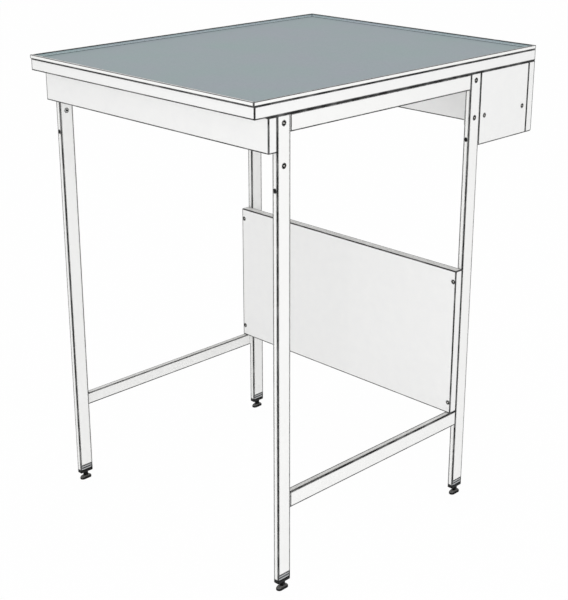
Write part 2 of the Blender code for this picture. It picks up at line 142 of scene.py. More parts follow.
def wire(tree, node, inputs):
    """Sets a node's inputs, each to a value, to a socket, or to another node's first output in use."""
    for name, value in inputs.items():
        if isinstance(value, bpy.types.Node):
            value = next(socket for socket in value.outputs if socket.enabled)
        if isinstance(value, bpy.types.NodeSocket):
            tree.links.new(value, node.inputs[name])
        else:
            node.inputs[name].default_value = value


def add(tree, kind, inputs=None, **settings):
    """Adds one node with its settings and its inputs."""
    node = tree.nodes.new(kind)
    for name, value in settings.items():
        setattr(node, name, value)
    wire(tree, node, inputs or {})
    return node


# Materials

# Sockets of the Mix node when it mixes colours
FIRST_COLOUR = 6
SECOND_COLOUR = 7

# Lines along edges, each fading and full at two values of its measure. On boards and strips it is the share
# of rays into the solid that stay in it to a depth
BOARD_DEPTH = 3.0 * MM
STRIP_DEPTH = 1.4 * MM
INSIDE_FADE = 0.98
INSIDE_FULL = 0.88

# On steel it is how near to an axis the normal lies, averaged over a reach: 1 on a flat of the square frame
STEEL_REACH = 3.6 * MM
SQUARE_FADE = 0.9998
SQUARE_FULL = 0.997

# On thin laminate it is how alike the averaged normal and the face's own are. The cove's facets differ by
# less, and show no line
SHEET_REACH = 4.5 * MM
LIP_REACH = 2.3 * MM
ALIKE_FADE = 0.987
ALIKE_FULL = 0.978
LINE_SAMPLES = 16

# A line is rubbed in stretches: their length, the noise at which it is weakest and full, and its least share
RUB_LENGTH = 30 * MM
RUB_WEAK = 0.3
RUB_FULL = 0.55
RUB_LEAST = 0.85
LINE_BLACK = "#0E0E0F"

# The painted top tone begins on a face that looks up by the first share, and is full at the second
TOP_TONE_FADE = 0.2
TOP_TONE_FULL = 0.8
# A pale grey painted on the upward white faces as their shade
PAINTED_TOP_SHADE = "#B5B4B1"

# The attribute of a screw's drive, where a key has rubbed it
RUBBED = "rubbed"


def tone(code):
    """An sRGB hex colour as linear red, green, blue and alpha."""
    shares = [int(code[i:i + 2], 16) / 255 for i in (1, 3, 5)]
    linear = [s / 12.92 if s <= 0.04045 else ((s + 0.055) / 1.055) ** 2.4 for s in shares]
    return (*linear, 1.0)


def blank(name, plain):
    """A material with its shader's plain settings: the material, tree, shader and Object coordinates."""
    made = bpy.data.materials.new(name)
    made.use_nodes = True
    tree = made.node_tree
    shader = tree.nodes["Principled BSDF"]
    wire(tree, shader, plain)
    place = add(tree, "ShaderNodeTexCoord").outputs["Object"]
    return made, tree, shader, place


def lined(tree, place, ground, line):
    """A ground with a dark line over it, uneven along its length."""
    rub = add(tree, "ShaderNodeTexNoise", {"Vector": place, "Scale": 1 / RUB_LENGTH, "Detail": 2.0})
    uneven = add(
        tree,
        "ShaderNodeMapRange",
        {"Value": rub, "From Min": RUB_WEAK, "From Max": RUB_FULL, "To Min": RUB_LEAST},
    )
    worn = add(tree, "ShaderNodeMath", {0: line, 1: uneven}, operation="MULTIPLY")
    return add(
        tree,
        "ShaderNodeMix",
        {"Factor": worn, FIRST_COLOUR: ground, SECOND_COLOUR: tone(LINE_BLACK)},
        data_type="RGBA",
    )


def dusted(tree, clean, speckle, top_grey):
    """A clean colour with a speckled grey painted over what faces up, as the light and shade of the upward
    faces.
    """
    face = add(tree, "ShaderNodeNewGeometry").outputs["Normal"]
    height = add(tree, "ShaderNodeSeparateXYZ", {"Vector": face}).outputs["Z"]
    level = add(
        tree,
        "ShaderNodeMapRange",
        {"Value": height, "From Min": TOP_TONE_FADE, "From Max": TOP_TONE_FULL},
    )
    share = add(tree, "ShaderNodeMath", {0: level, 1: speckle}, operation="MULTIPLY")
    return add(
        tree,
        "ShaderNodeMix",
        {"Factor": share, FIRST_COLOUR: clean, SECOND_COLOUR: tone(top_grey)},
        data_type="RGBA",
    )


def board_edge(tree, depth):
    """1 along a thick piece's convex edges, fading to 0 within this depth of them."""
    inside = add(
        tree,
        "ShaderNodeAmbientOcclusion",
        {"Distance": depth},
        samples=LINE_SAMPLES,
        inside=True,
        only_local=True,
    ).outputs["AO"]
    return add(
        tree,
        "ShaderNodeMapRange",
        {"Value": inside, "From Min": INSIDE_FADE, "From Max": INSIDE_FULL},
    )


def steel_corner(tree, reach):
    """1 along the edges and round corners of the square steel frame, fading to 0 within this reach."""
    eased = add(tree, "ShaderNodeBevel", {"Radius": reach}, samples=LINE_SAMPLES)
    sizes = add(tree, "ShaderNodeVectorMath", {0: eased}, operation="ABSOLUTE")
    along = add(tree, "ShaderNodeSeparateXYZ", {"Vector": sizes}).outputs
    level = add(tree, "ShaderNodeMath", {0: along["X"], 1: along["Y"]}, operation="MAXIMUM")
    square = add(tree, "ShaderNodeMath", {0: level, 1: along["Z"]}, operation="MAXIMUM")
    return add(
        tree,
        "ShaderNodeMapRange",
        {"Value": square, "From Min": SQUARE_FADE, "From Max": SQUARE_FULL},
    )


def cut_edge(tree, reach):
    """1 along a thin sheet's sharp edges, fading to 0 within this reach of them."""
    eased = add(tree, "ShaderNodeBevel", {"Radius": reach}, samples=LINE_SAMPLES)
    face = add(tree, "ShaderNodeNewGeometry").outputs["Normal"]
    alike = add(tree, "ShaderNodeVectorMath", {0: eased, 1: face}, operation="DOT_PRODUCT")
    return add(
        tree,
        "ShaderNodeMapRange",
        {"Value": alike, "From Min": ALIKE_FADE, "From Max": ALIKE_FULL},
    )


def powder_coat(name, cornered):
    """Polyester powder baked on steel. It gives the eye a satin white with a slight orange peel, soft
    clouds where the film is thicker, a painted grey shade on what faces up, and dark primer along the
    corners, where the film draws back. The peel is drawn three times as coarse as it is, and the corner
    line four times as wide, to show. Weld beads have no corners, and no line."""
    made, tree, shader, place = blank(name, {"IOR": 1.5, "Specular IOR Level": 0.25})
    cloud = add(tree, "ShaderNodeTexNoise", {"Vector": place, "Scale": 1 / (80 * MM), "Detail": 2.0})
    peel = add(tree, "ShaderNodeTexNoise", {"Vector": place, "Scale": 1 / (4.5 * MM), "Detail": 1.0})
    film = add(
        tree,
        "ShaderNodeMix",
        {"Factor": cloud, FIRST_COLOUR: tone("#ECECEB"), SECOND_COLOUR: tone("#F3F3F2")},
        data_type="RGBA",
    )
    # Painted shade: the faces that look up are greyed
    colour = dusted(tree, film, cloud, PAINTED_TOP_SHADE)
    if cornered:
        colour = lined(tree, place, colour, steel_corner(tree, STEEL_REACH))
    gloss = add(tree, "ShaderNodeMapRange", {"Value": peel, "To Min": 0.36, "To Max": 0.50})
    relief = add(tree, "ShaderNodeBump", {"Height": peel, "Distance": 0.15 * MM, "Strength": 0.35})
    wire(tree, shader, {"Base Color": colour, "Roughness": gloss, "Normal": relief})
    return made


def melamine_facing():
    """Particle board faced with melamine paper pressed on a pearl plate. It gives the eye a fine, even
    pebble in the highlights over a flat white, faint clouds from the pressed chips below, a painted grey
    shade on what faces up, and a dark glue line along the edges. The pebble is drawn three times as
    coarse as it is, and the line four times as wide, to show."""
    made, tree, shader, place = blank("melamine_faced_board", {"IOR": 1.52, "Specular IOR Level": 0.25})
    chips = add(tree, "ShaderNodeTexNoise", {"Vector": place, "Scale": 1 / (22 * MM), "Detail": 3.0})
    pearl = add(
        tree,
        "ShaderNodeTexVoronoi",
        {"Vector": place, "Scale": 1 / (3.0 * MM), "Smoothness": 1.0},
        feature="SMOOTH_F1",
    )
    paper = add(
        tree,
        "ShaderNodeMix",
        {"Factor": chips, FIRST_COLOUR: tone("#ECECEC"), SECOND_COLOUR: tone("#F1F1F0")},
        data_type="RGBA",
    )
    # Painted shade: the faces that look up are greyed
    top_shaded = dusted(tree, paper, chips, PAINTED_TOP_SHADE)
    colour = lined(tree, place, top_shaded, board_edge(tree, BOARD_DEPTH))
    gloss = add(tree, "ShaderNodeMapRange", {"Value": chips, "To Min": 0.38, "To Max": 0.48})
    relief = add(tree, "ShaderNodeBump", {"Height": pearl, "Distance": 0.10 * MM, "Strength": 0.25})
    wire(tree, shader, {"Base Color": colour, "Roughness": gloss, "Normal": relief})
    return made


def abs_edging():
    """Extruded ABS edging. It gives the eye a brighter, smoother white than the boards, with long fine
    die lines that stretch along the strip, a painted grey shade on what faces up, and a dark line of glue
    where its corners were trimmed. That line is drawn three times as wide as it is, to show."""
    made, tree, shader, place = blank("extruded_abs_edging", {"IOR": 1.53, "Specular IOR Level": 0.25})
    drawn = add(tree, "ShaderNodeMapping", {"Vector": place, "Scale": (1.0, 1.0, 40.0)})
    die = add(tree, "ShaderNodeTexNoise", {"Vector": drawn, "Scale": 1 / (45 * MM), "Detail": 2.0})
    strip = add(
        tree,
        "ShaderNodeMix",
        {"Factor": die, FIRST_COLOUR: tone("#EFEFEE"), SECOND_COLOUR: tone("#F4F4F3")},
        data_type="RGBA",
    )
    # Painted shade: the faces that look up are greyed
    top_shaded = dusted(tree, strip, die, PAINTED_TOP_SHADE)
    colour = lined(tree, place, top_shaded, board_edge(tree, STRIP_DEPTH))
    gloss = add(tree, "ShaderNodeMapRange", {"Value": die, "To Min": 0.28, "To Max": 0.40})
    relief = add(tree, "ShaderNodeBump", {"Height": die, "Distance": 0.05 * MM, "Strength": 0.2})
    wire(tree, shader, {"Base Color": colour, "Roughness": gloss, "Normal": relief})
    return made


def resin_laminate(name, violet_grey, green_grey, reach):
    """Solid grey laminate, resin and paper pressed together. It gives the eye a satin grey-blue that
    drifts between a violet and a green grey over a hand's width, with fine lighter and darker flecks,
    and the dark core paper at its cut edges. The flecks are drawn three times as large as they are, and
    the core four times as wide, to show."""
    made, tree, shader, place = blank(name, {"IOR": 1.55, "Specular IOR Level": 0.2})
    drift = add(tree, "ShaderNodeTexNoise", {"Vector": place, "Scale": 1 / (120 * MM), "Detail": 3.0})
    fleck = add(tree, "ShaderNodeTexNoise", {"Vector": place, "Scale": 1 / (3.5 * MM), "Detail": 4.0})
    spread = add(tree, "ShaderNodeMapRange", {"Value": drift, "From Min": 0.3, "From Max": 0.7})
    ground = add(
        tree,
        "ShaderNodeMix",
        {"Factor": spread, FIRST_COLOUR: tone(violet_grey), SECOND_COLOUR: tone(green_grey)},
        data_type="RGBA",
    )
    dots = add(tree, "ShaderNodeMapRange", {"Value": fleck, "From Min": 0.35, "From Max": 0.65})
    shade = add(
        tree,
        "ShaderNodeMix",
        {"Factor": dots, FIRST_COLOUR: tone("#F4F5F5"), SECOND_COLOUR: tone("#FFFFFF")},
        data_type="RGBA",
    )
    face = add(
        tree,
        "ShaderNodeMix",
        {"Factor": 1.0, FIRST_COLOUR: ground, SECOND_COLOUR: shade},
        data_type="RGBA",
        blend_type="MULTIPLY",
    )
    core = cut_edge(tree, reach)
    colour = add(
        tree,
        "ShaderNodeMix",
        {"Factor": core, FIRST_COLOUR: face, SECOND_COLOUR: tone("#171D20")},
        data_type="RGBA",
    )
    gloss = add(tree, "ShaderNodeMapRange", {"Value": fleck, "To Min": 0.50, "To Max": 0.66})
    relief = add(tree, "ShaderNodeBump", {"Height": fleck, "Distance": 0.06 * MM, "Strength": 0.3})
    wire(tree, shader, {"Base Color": colour, "Roughness": gloss, "Normal": relief})
    return made


def zinc_plate():
    """Bright zinc plating with a clear passivate. It gives the eye a pale metal with bluish and yellowish
    clouds and a faint grain from the rolled strip below."""
    made, tree, shader, place = blank("zinc_plated_steel_strip", {"Metallic": 1.0})
    cloud = add(tree, "ShaderNodeTexNoise", {"Vector": place, "Scale": 1 / (12 * MM), "Detail": 3.0})
    grain = add(tree, "ShaderNodeTexNoise", {"Vector": place, "Scale": 1 / (0.8 * MM), "Detail": 2.0})
    colour = add(
        tree,
        "ShaderNodeMix",
        {"Factor": cloud, FIRST_COLOUR: tone("#BFC6CE"), SECOND_COLOUR: tone("#CFCBBF")},
        data_type="RGBA",
    )
    gloss = add(tree, "ShaderNodeMapRange", {"Value": grain, "To Min": 0.26, "To Max": 0.46})
    wire(tree, shader, {"Base Color": colour, "Roughness": gloss})
    return made


def spring_steel():
    """Phosphated spring steel. It gives the eye a matt mid grey with a fine crystal grain and darker oil
    stains."""
    made, tree, shader, place = blank("phosphated_spring_steel", {"Metallic": 0.6})
    stain = add(tree, "ShaderNodeTexNoise", {"Vector": place, "Scale": 1 / (6 * MM), "Detail": 3.0})
    grain = add(tree, "ShaderNodeTexNoise", {"Vector": place, "Scale": 1 / (0.6 * MM), "Detail": 2.0})
    colour = add(
        tree,
        "ShaderNodeMix",
        {"Factor": stain, FIRST_COLOUR: tone("#A3A5A8"), SECOND_COLOUR: tone("#C0C1C1")},
        data_type="RGBA",
    )
    gloss = add(tree, "ShaderNodeMapRange", {"Value": grain, "To Min": 0.50, "To Max": 0.72})
    wire(tree, shader, {"Base Color": colour, "Roughness": gloss})
    return made


def black_oxide():
    """Steel blackened in hot oxide and oiled. It gives the eye a deep grey metal, brown-black in patches,
    and bare bright steel in a screw's drive, where a key has rubbed it."""
    made, tree, shader, place = blank("black_oxide_steel", {"Metallic": 1.0})
    patch = add(tree, "ShaderNodeTexNoise", {"Vector": place, "Scale": 1 / (2.5 * MM), "Detail": 3.0})
    oxide = add(
        tree,
        "ShaderNodeMix",
        {"Factor": patch, FIRST_COLOUR: tone("#0E0E0F"), SECOND_COLOUR: tone("#1F1E1E")},
        data_type="RGBA",
    )
    rubbed = add(tree, "ShaderNodeAttribute", attribute_name=RUBBED).outputs["Fac"]
    colour = add(
        tree,
        "ShaderNodeMix",
        {"Factor": rubbed, FIRST_COLOUR: oxide, SECOND_COLOUR: tone("#DEDDDA")},
        data_type="RGBA",
    )
    gloss = add(tree, "ShaderNodeMapRange", {"Value": patch, "To Min": 0.28, "To Max": 0.48})
    wire(tree, shader, {"Base Color": colour, "Roughness": gloss})
    return made


def moulded_plastic():
    """Black polyethylene from a spark-eroded mould. It gives the eye a soft satin black with a fine
    pebbled grain. The grain is drawn at 0.8 mm, twice its size, to show."""
    made, tree, shader, place = blank("moulded_black_polyethylene", {"IOR": 1.5, "Specular IOR Level": 0.15})
    grain = add(
        tree,
        "ShaderNodeTexVoronoi",
        {"Vector": place, "Scale": 1 / (0.8 * MM), "Smoothness": 1.0},
        feature="SMOOTH_F1",
    )
    wash = add(tree, "ShaderNodeTexNoise", {"Vector": place, "Scale": 1 / (9 * MM), "Detail": 2.0})
    colour = add(
        tree,
        "ShaderNodeMix",
        {"Factor": wash, FIRST_COLOUR: tone("#0C0C0D"), SECOND_COLOUR: tone("#171718")},
        data_type="RGBA",
    )
    gloss = add(tree, "ShaderNodeMapRange", {"Value": grain, "To Min": 0.42, "To Max": 0.58})
    relief = add(tree, "ShaderNodeBump", {"Height": grain, "Distance": 0.06 * MM, "Strength": 0.4})
    wire(tree, shader, {"Base Color": colour, "Roughness": gloss, "Normal": relief})
    return made


def moulded_rubber():
    """Moulded black rubber. It gives the eye a matt black, greyed on what faces up by a dusting from the
    floor and a painted top light.
    """
    made, tree, shader, place = blank("moulded_black_rubber", {"IOR": 1.52, "Specular IOR Level": 0.15})
    speckle = add(tree, "ShaderNodeTexNoise", {"Vector": place, "Scale": 1 / (1.2 * MM), "Detail": 3.0})
    # The grey on what faces up is a dusting from the floor and a painted top light
    colour = dusted(tree, tone("#0C0C0D"), speckle, "#878684")
    gloss = add(tree, "ShaderNodeMapRange", {"Value": speckle, "To Min": 0.62, "To Max": 0.85})
    relief = add(tree, "ShaderNodeBump", {"Height": speckle, "Distance": 0.08 * MM, "Strength": 0.3})
    wire(tree, shader, {"Base Color": colour, "Roughness": gloss, "Normal": relief})
    return made


FINISHES = {
    "white_powder_coat": powder_coat("powder_coated_steel", cornered=True),
    "white_board_facing": melamine_facing(),
    "white_edging": abs_edging(),
    "grey_resin_sheet": resin_laminate("grey_resin_laminate", "#949CA3", "#8F9FA0", SHEET_REACH),
    "zinc_plated_steel": zinc_plate(),
    "blackened_steel": black_oxide(),
    "black_plastic": moulded_plastic(),
    "black_rubber": moulded_rubber(),
}

for part in record["subparts"]:
    for holder in nodes[part["node"]].material_slots:
        holder.material = FINISHES[part["material_slot"]]

# The thin lip is of the same laminate, its colour painted lighter as painted light on its upright wall, with
# a finer line
for holder in nodes["coved_lip"].material_slots:
    holder.material = resin_laminate("lighter_painted_lip_laminate", "#ADB6BD", "#A8B9BB", LIP_REACH)


# Pieces

# Edges that turn by more than this many degrees stay crisp, on most pieces, on weld beads and on pads
CRISP = 35
CRISP_BEAD = 60
CRISP_PAD = 50


def middle(node):
    low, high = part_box(node)
    return (low + high) / 2


def shown(name, mesh):
    made = bpy.data.objects.new(name, mesh)
    bpy.context.scene.collection.objects.link(made)
    return made


def plain_object(name, points, edges=(), faces=()):
    mesh = bpy.data.meshes.new(name)
    mesh.from_pydata([tuple(p) for p in points], list(edges), list(faces))
    return shown(name, mesh)


def smooth(mesh, degrees):
    mesh.shade_smooth()
    mesh.set_sharp_from_angle(angle=math.radians(degrees))


def place_piece(made, body, replaced=()):
    """Hangs a finished piece on the body that it rides on, and hides the solids that it stands for."""
    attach(made, body)
    if replaced:
        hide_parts(*replaced)


def grown(name, tree, carrier, sizes, degrees=CRISP):
    """Runs a Geometry Nodes tree on a carrier and keeps its result as one plain mesh."""
    step = carrier.modifiers.new(name, "NODES")
    step.node_group = tree
    for item in tree.interface.items_tree:
        if item.in_out == "INPUT" and item.name in sizes:
            step[item.identifier] = sizes[item.name]
    view = bpy.context.evaluated_depsgraph_get()
    mesh = bpy.data.meshes.new_from_object(carrier.evaluated_get(view))
    mesh.name = name
    carrier.modifiers.remove(step)
    bpy.data.objects.remove(carrier)
    smooth(mesh, degrees)
    return shown(name, mesh)


def new_tree(name, sizes):
    """An empty Geometry Nodes tree with a geometry input, a material input and named sizes in metres."""
    tree = bpy.data.node_groups.new(name, "GeometryNodeTree")
    tree.interface.new_socket("Geometry", in_out="INPUT", socket_type="NodeSocketGeometry")
    for size in sizes:
        tree.interface.new_socket(size, in_out="INPUT", socket_type="NodeSocketFloat")
    tree.interface.new_socket("Material", in_out="INPUT", socket_type="NodeSocketMaterial")
    tree.interface.new_socket("Geometry", in_out="OUTPUT", socket_type="NodeSocketGeometry")
    given = add(tree, "NodeGroupInput").outputs
    return tree, given


def close_tree(tree, given, geometry):
    """Ends a tree in real meshes with the material set."""
    real = add(tree, "GeometryNodeRealizeInstances", {"Geometry": geometry})
    dressed = add(tree, "GeometryNodeSetMaterial", {"Geometry": real, "Material": given["Material"]})
    add(tree, "NodeGroupOutput", {"Geometry": dressed})


# Boards, strips, laminate and steel members. Each is the skin of its solid with its triangles joined, so
# that a finish runs over it without seams

JOINED_SLOTS = ("white_powder_coat", "white_board_facing", "white_edging", "grey_resin_sheet")
WELD_REACH = 0.001 * MM

for part in record["subparts"]:
    if part["material_slot"] not in JOINED_SLOTS:
        continue
    solid = nodes[part["node"]]
    skin = bmesh.new()
    skin.from_mesh(solid.data)
    bmesh.ops.remove_doubles(skin, verts=skin.verts, dist=WELD_REACH)
    name = part["node"] + "_finished"
    mesh = bpy.data.meshes.new(name)
    skin.to_mesh(mesh)
    skin.free()
    mesh.materials.append(solid.material_slots[0].material)
    place_piece(shown(name, mesh), "bench", [part["node"]])


# Screws and snap-in plugs

FIXING_SIZES = (
    "Head Radius",
    "Shaft Radius",
    "Length",
    "Shoulder",
    "Rim Low",
    "Rim High",
    "Crown",
    "Crown Radius",
    "Drive Radius",
    "Drive Depth",
    "Drive Lobe",
)
FIXING_POINTS = 48
KEY_SIDES = 6.0
TIP_SHARE = 0.5
MOUTH_SHARE = 1.12
DRIVE_RINGS = 2


def fixing_tree():
    """A turned fixing at each point of the carrier, along its outward attribute. Rings run from the tip,
    up the shaft, over the head and down into the six-sided drive, each with a radius and a height. The
    drive's rings below its mouth are marked as rubbed."""
    tree, given = new_tree("turned_fixing", FIXING_SIZES)
    shaft = given["Shaft Radius"]
    drive = given["Drive Radius"]
    crown = given["Crown"]
    tip_radius = add(tree, "ShaderNodeMath", {0: shaft, 1: TIP_SHARE}, operation="MULTIPLY")
    tip = add(tree, "ShaderNodeMath", {0: given["Length"], 1: -1.0}, operation="MULTIPLY")
    tip_top = add(tree, "ShaderNodeMath", {0: tip, 1: tip_radius}, operation="ADD")
    mouth = add(tree, "ShaderNodeMath", {0: drive, 1: MOUTH_SHARE}, operation="MULTIPLY")
    mouth_step = add(tree, "ShaderNodeMath", {0: mouth, 1: drive}, operation="SUBTRACT")
    key_top = add(tree, "ShaderNodeMath", {0: crown, 1: mouth_step}, operation="SUBTRACT")
    key_low = add(tree, "ShaderNodeMath", {0: crown, 1: given["Drive Depth"]}, operation="SUBTRACT")
    rings = (
        (tip_radius, tip),
        (shaft, tip_top),
        (shaft, given["Shoulder"]),
        (given["Head Radius"], given["Rim Low"]),
        (given["Head Radius"], given["Rim High"]),
        (given["Crown Radius"], crown),
        (mouth, crown),
        (drive, key_top),
        (drive, key_low),
    )
    below_mouth = len(rings) - DRIVE_RINGS - 0.5
    below_crown = below_mouth - 1
    tall = len(rings) - 1
    stack = add(
        tree,
        "GeometryNodeMeshCylinder",
        {"Vertices": FIXING_POINTS, "Side Segments": tall, "Radius": 1.0, "Depth": float(tall)},
    )
    at = add(tree, "ShaderNodeSeparateXYZ", {"Vector": add(tree, "GeometryNodeInputPosition")}).outputs
    level = add(tree, "ShaderNodeMath", {0: at["Z"], 1: tall / 2}, operation="ADD")
    ring = add(tree, "ShaderNodeMath", {0: level}, operation="ROUND")
    radius = add(tree, "GeometryNodeIndexSwitch", data_type="FLOAT")
    height = add(tree, "GeometryNodeIndexSwitch", data_type="FLOAT")
    for column, switch in enumerate((radius, height)):
        while len(switch.index_switch_items) < len(rings):
            switch.index_switch_items.new()
        wire(tree, switch, {"Index": ring})
        wire(tree, switch, {str(i): row[column] for i, row in enumerate(rings)})
    turn = add(tree, "ShaderNodeMath", {0: at["Y"], 1: at["X"]}, operation="ARCTAN2")
    sixfold = add(tree, "ShaderNodeMath", {0: turn, 1: KEY_SIDES}, operation="MULTIPLY")
    wave = add(tree, "ShaderNodeMath", {0: sixfold}, operation="COSINE")
    in_drive = add(tree, "ShaderNodeMath", {0: ring, 1: below_crown}, operation="GREATER_THAN")
    deep = add(tree, "ShaderNodeMath", {0: wave, 1: given["Drive Lobe"]}, operation="MULTIPLY")
    lobe = add(tree, "ShaderNodeMath", {0: deep, 1: in_drive, 2: 1.0}, operation="MULTIPLY_ADD")
    reach = add(tree, "ShaderNodeMath", {0: radius, 1: lobe}, operation="MULTIPLY")
    across = add(tree, "ShaderNodeMath", {0: turn}, operation="COSINE")
    along = add(tree, "ShaderNodeMath", {0: turn}, operation="SINE")
    x = add(tree, "ShaderNodeMath", {0: reach, 1: across}, operation="MULTIPLY")
    y = add(tree, "ShaderNodeMath", {0: reach, 1: along}, operation="MULTIPLY")
    moved = add(tree, "ShaderNodeCombineXYZ", {"X": x, "Y": y, "Z": height})
    rubbed = add(tree, "ShaderNodeMath", {0: ring, 1: below_mouth}, operation="GREATER_THAN")
    marked = add(
        tree,
        "GeometryNodeStoreNamedAttribute",
        {"Geometry": stack, "Name": RUBBED, "Value": rubbed},
        data_type="FLOAT",
        domain="POINT",
    )
    fixing = add(tree, "GeometryNodeSetPosition", {"Geometry": marked, "Position": moved})
    outward = add(
        tree,
        "GeometryNodeInputNamedAttribute",
        {"Name": "outward"},
        data_type="FLOAT_VECTOR",
    )
    stand = add(tree, "FunctionNodeAlignRotationToVector", {"Vector": outward}, axis="Z")
    laid = add(
        tree,
        "GeometryNodeInstanceOnPoints",
        {"Points": given["Geometry"], "Instance": fixing, "Rotation": stand},
    )
    close_tree(tree, given, laid)
    return tree


TURNED_FIXING = fixing_tree()


def fixings(name, places, sizes, slot, replaced=()):
    """One piece with a fixing at each place: a point on the seat and the direction that its head faces."""
    carrier = plain_object(name + "_places", [at for at, outward in places])
    column = carrier.data.attributes.new("outward", "FLOAT_VECTOR", "POINT")
    for i, (at, outward) in enumerate(places):
        column.data[i].vector = outward
    made = grown(name, TURNED_FIXING, carrier, {**sizes, "Material": FINISHES[slot]})
    place_piece(made, "bench", replaced)


def countersunk(node):
    """A countersunk fastener's sizes, with its head and length taken from its solid."""
    low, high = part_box(node)
    spans = sorted(high - low)
    head = spans[0] / 2
    return {
        "Head Radius": head,
        "Shaft Radius": BOLT_RADIUS,
        "Length": spans[2],
        "Shoulder": -HEAD_CONE,
        "Rim Low": -HEAD_LAND,
        "Rim High": -HEAD_LAND / 2,
        "Crown": 0.0,
        "Crown Radius": head - HEAD_EDGE,
        "Drive Radius": HEX_KEY / 2,
        "Drive Depth": KEY_DEPTH,
        "Drive Lobe": HEX_LOBE,
    }


def outer_end(node):
    """The middle of a side fastener's head, and the way that it faces."""
    low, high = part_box(node)
    centre = (low + high) / 2
    if centre.x > 0:
        return (high.x, centre.y, centre.z), (1, 0, 0)
    return (low.x, centre.y, centre.z), (-1, 0, 0)


def front_end(node):
    """The middle of a front fastener's head, and the way that it faces."""
    low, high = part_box(node)
    centre = (low + high) / 2
    return (centre.x, low.y, centre.z), (0, -1, 0)


bolt_nodes = [f"{foot}_{level}_bolt" for foot in FEET for level in ("upper", "lower")]
service_nodes = [f"{side}_service_screw_{at}" for side, sign in SIDES for at in ("fore", "aft")]
modesty_nodes = [f"{side}_modesty_screw_{at}" for side, sign in SIDES for at in ("upper", "lower")]
for name, end_of, held in (
    ("leg_bolts", outer_end, bolt_nodes),
    ("service_panel_screws", outer_end, service_nodes),
    ("modesty_panel_screws", front_end, modesty_nodes),
):
    fixings(name, [end_of(n) for n in held], countersunk(held[0]), "blackened_steel", held)

# Pan-head screws through the brackets, into the worktop, the apron and the rear panel

pan_places = []
for foot in FEET:
    low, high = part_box(foot + "_worktop_bracket")
    centre = (low + high) / 2
    inward = -math.copysign(1, centre.x)
    heel_x = high.x if inward < 0 else low.x
    for shift in (-PAN_SPREAD / 2, PAN_SPREAD / 2):
        at = (heel_x + inward * PAN_FROM_HEEL, centre.y + shift, high.z - ANGLE_THICK)
        pan_places.append((at, (0, 0, -1)))
for side, sign in SIDES:
    low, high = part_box(side + "_apron_bracket")
    centre = (low + high) / 2
    for shift in (-PAN_SPREAD / 2, PAN_SPREAD / 2):
        under = (centre.x + shift, low.y + PAN_FROM_HEEL, high.z - ANGLE_THICK)
        pan_places.append((under, (0, 0, -1)))
        behind = (centre.x + shift, low.y + ANGLE_THICK, high.z - PAN_FROM_HEEL)
        pan_places.append((behind, (0, 1, 0)))
    low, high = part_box(side + "_corner_bracket")
    centre = (low + high) / 2
    inner_x = high.x - PAN_FROM_HEEL if sign > 0 else low.x + PAN_FROM_HEEL
    for shift in (-PAN_SPREAD / 2, PAN_SPREAD / 2):
        pan_places.append(((inner_x, high.y - ANGLE_THICK, centre.z + shift), (0, -1, 0)))

fixings(
    "bracket_screws",
    pan_places,
    {
        "Head Radius": PAN_RADIUS,
        "Shaft Radius": PAN_SHAFT,
        "Length": PAN_LENGTH,
        "Shoulder": 0.0,
        "Rim Low": PAN_SEAT,
        "Rim High": PAN_RIM,
        "Crown": PAN_HEIGHT,
        "Crown Radius": PAN_CROWN,
        "Drive Radius": PAN_DRIVE / 2,
        "Drive Depth": PAN_DEPTH,
        "Drive Lobe": PAN_LOBE,
    },
    "zinc_plated_steel",
)

# Black plugs that fill the holes in the legs' front faces

cap_places = []
cap_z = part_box("worktop_board")[0].z - CAP_DROP
for foot in FEET:
    low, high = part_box(foot + "_leg")
    cap_places.append((((low.x + high.x) / 2, low.y, cap_z), (0, -1, 0)))

fixings(
    "hole_plugs",
    cap_places,
    {
        "Head Radius": CAP_RADIUS,
        "Shaft Radius": CAP_BARREL,
        "Length": CAP_LENGTH,
        "Shoulder": 0.0,
        "Rim Low": PAN_SEAT,
        "Rim High": CAP_RIM,
        "Crown": CAP_HEIGHT,
        "Crown Radius": CAP_CROWN,
        "Drive Radius": CAP_DIMPLE,
        "Drive Depth": CAP_DIMPLE_DEPTH,
        "Drive Lobe": 0.0,
    },
    "black_plastic",
)


# Weld beads

BEAD_SIZES = ("Bead Radius", "Ripple Pitch", "Ripple Share", "Corner Radius", "Step")


def bead_tree():
    """A rippled weld bead along each chain of edges in the carrier."""
    tree, given = new_tree("weld_bead", BEAD_SIZES)
    path = add(tree, "GeometryNodeMeshToCurve", {"Mesh": given["Geometry"]})
    eased = add(
        tree,
        "GeometryNodeFilletCurve",
        {"Curve": path, "Count": BEAD_TURN_STEPS, "Radius": given["Corner Radius"]},
        mode="POLY",
    )
    stepped = add(
        tree,
        "GeometryNodeResampleCurve",
        {"Curve": eased, "Length": given["Step"]},
        mode="LENGTH",
    )
    along = add(tree, "GeometryNodeSplineParameter").outputs["Length"]
    turns = add(tree, "ShaderNodeMath", {0: along, 1: given["Ripple Pitch"]}, operation="DIVIDE")
    angle = add(tree, "ShaderNodeMath", {0: turns, 1: 2 * math.pi}, operation="MULTIPLY")
    wave = add(tree, "ShaderNodeMath", {0: angle}, operation="SINE")
    swell = add(
        tree,
        "ShaderNodeMath",
        {0: wave, 1: given["Ripple Share"], 2: 1.0},
        operation="MULTIPLY_ADD",
    )
    section = add(
        tree,
        "GeometryNodeCurvePrimitiveCircle",
        {"Resolution": BEAD_SIDES, "Radius": given["Bead Radius"]},
    )
    bead = add(
        tree,
        "GeometryNodeCurveToMesh",
        {"Curve": stepped, "Profile Curve": section, "Scale": swell, "Fill Caps": True},
    )
    close_tree(tree, given, bead)
    return tree


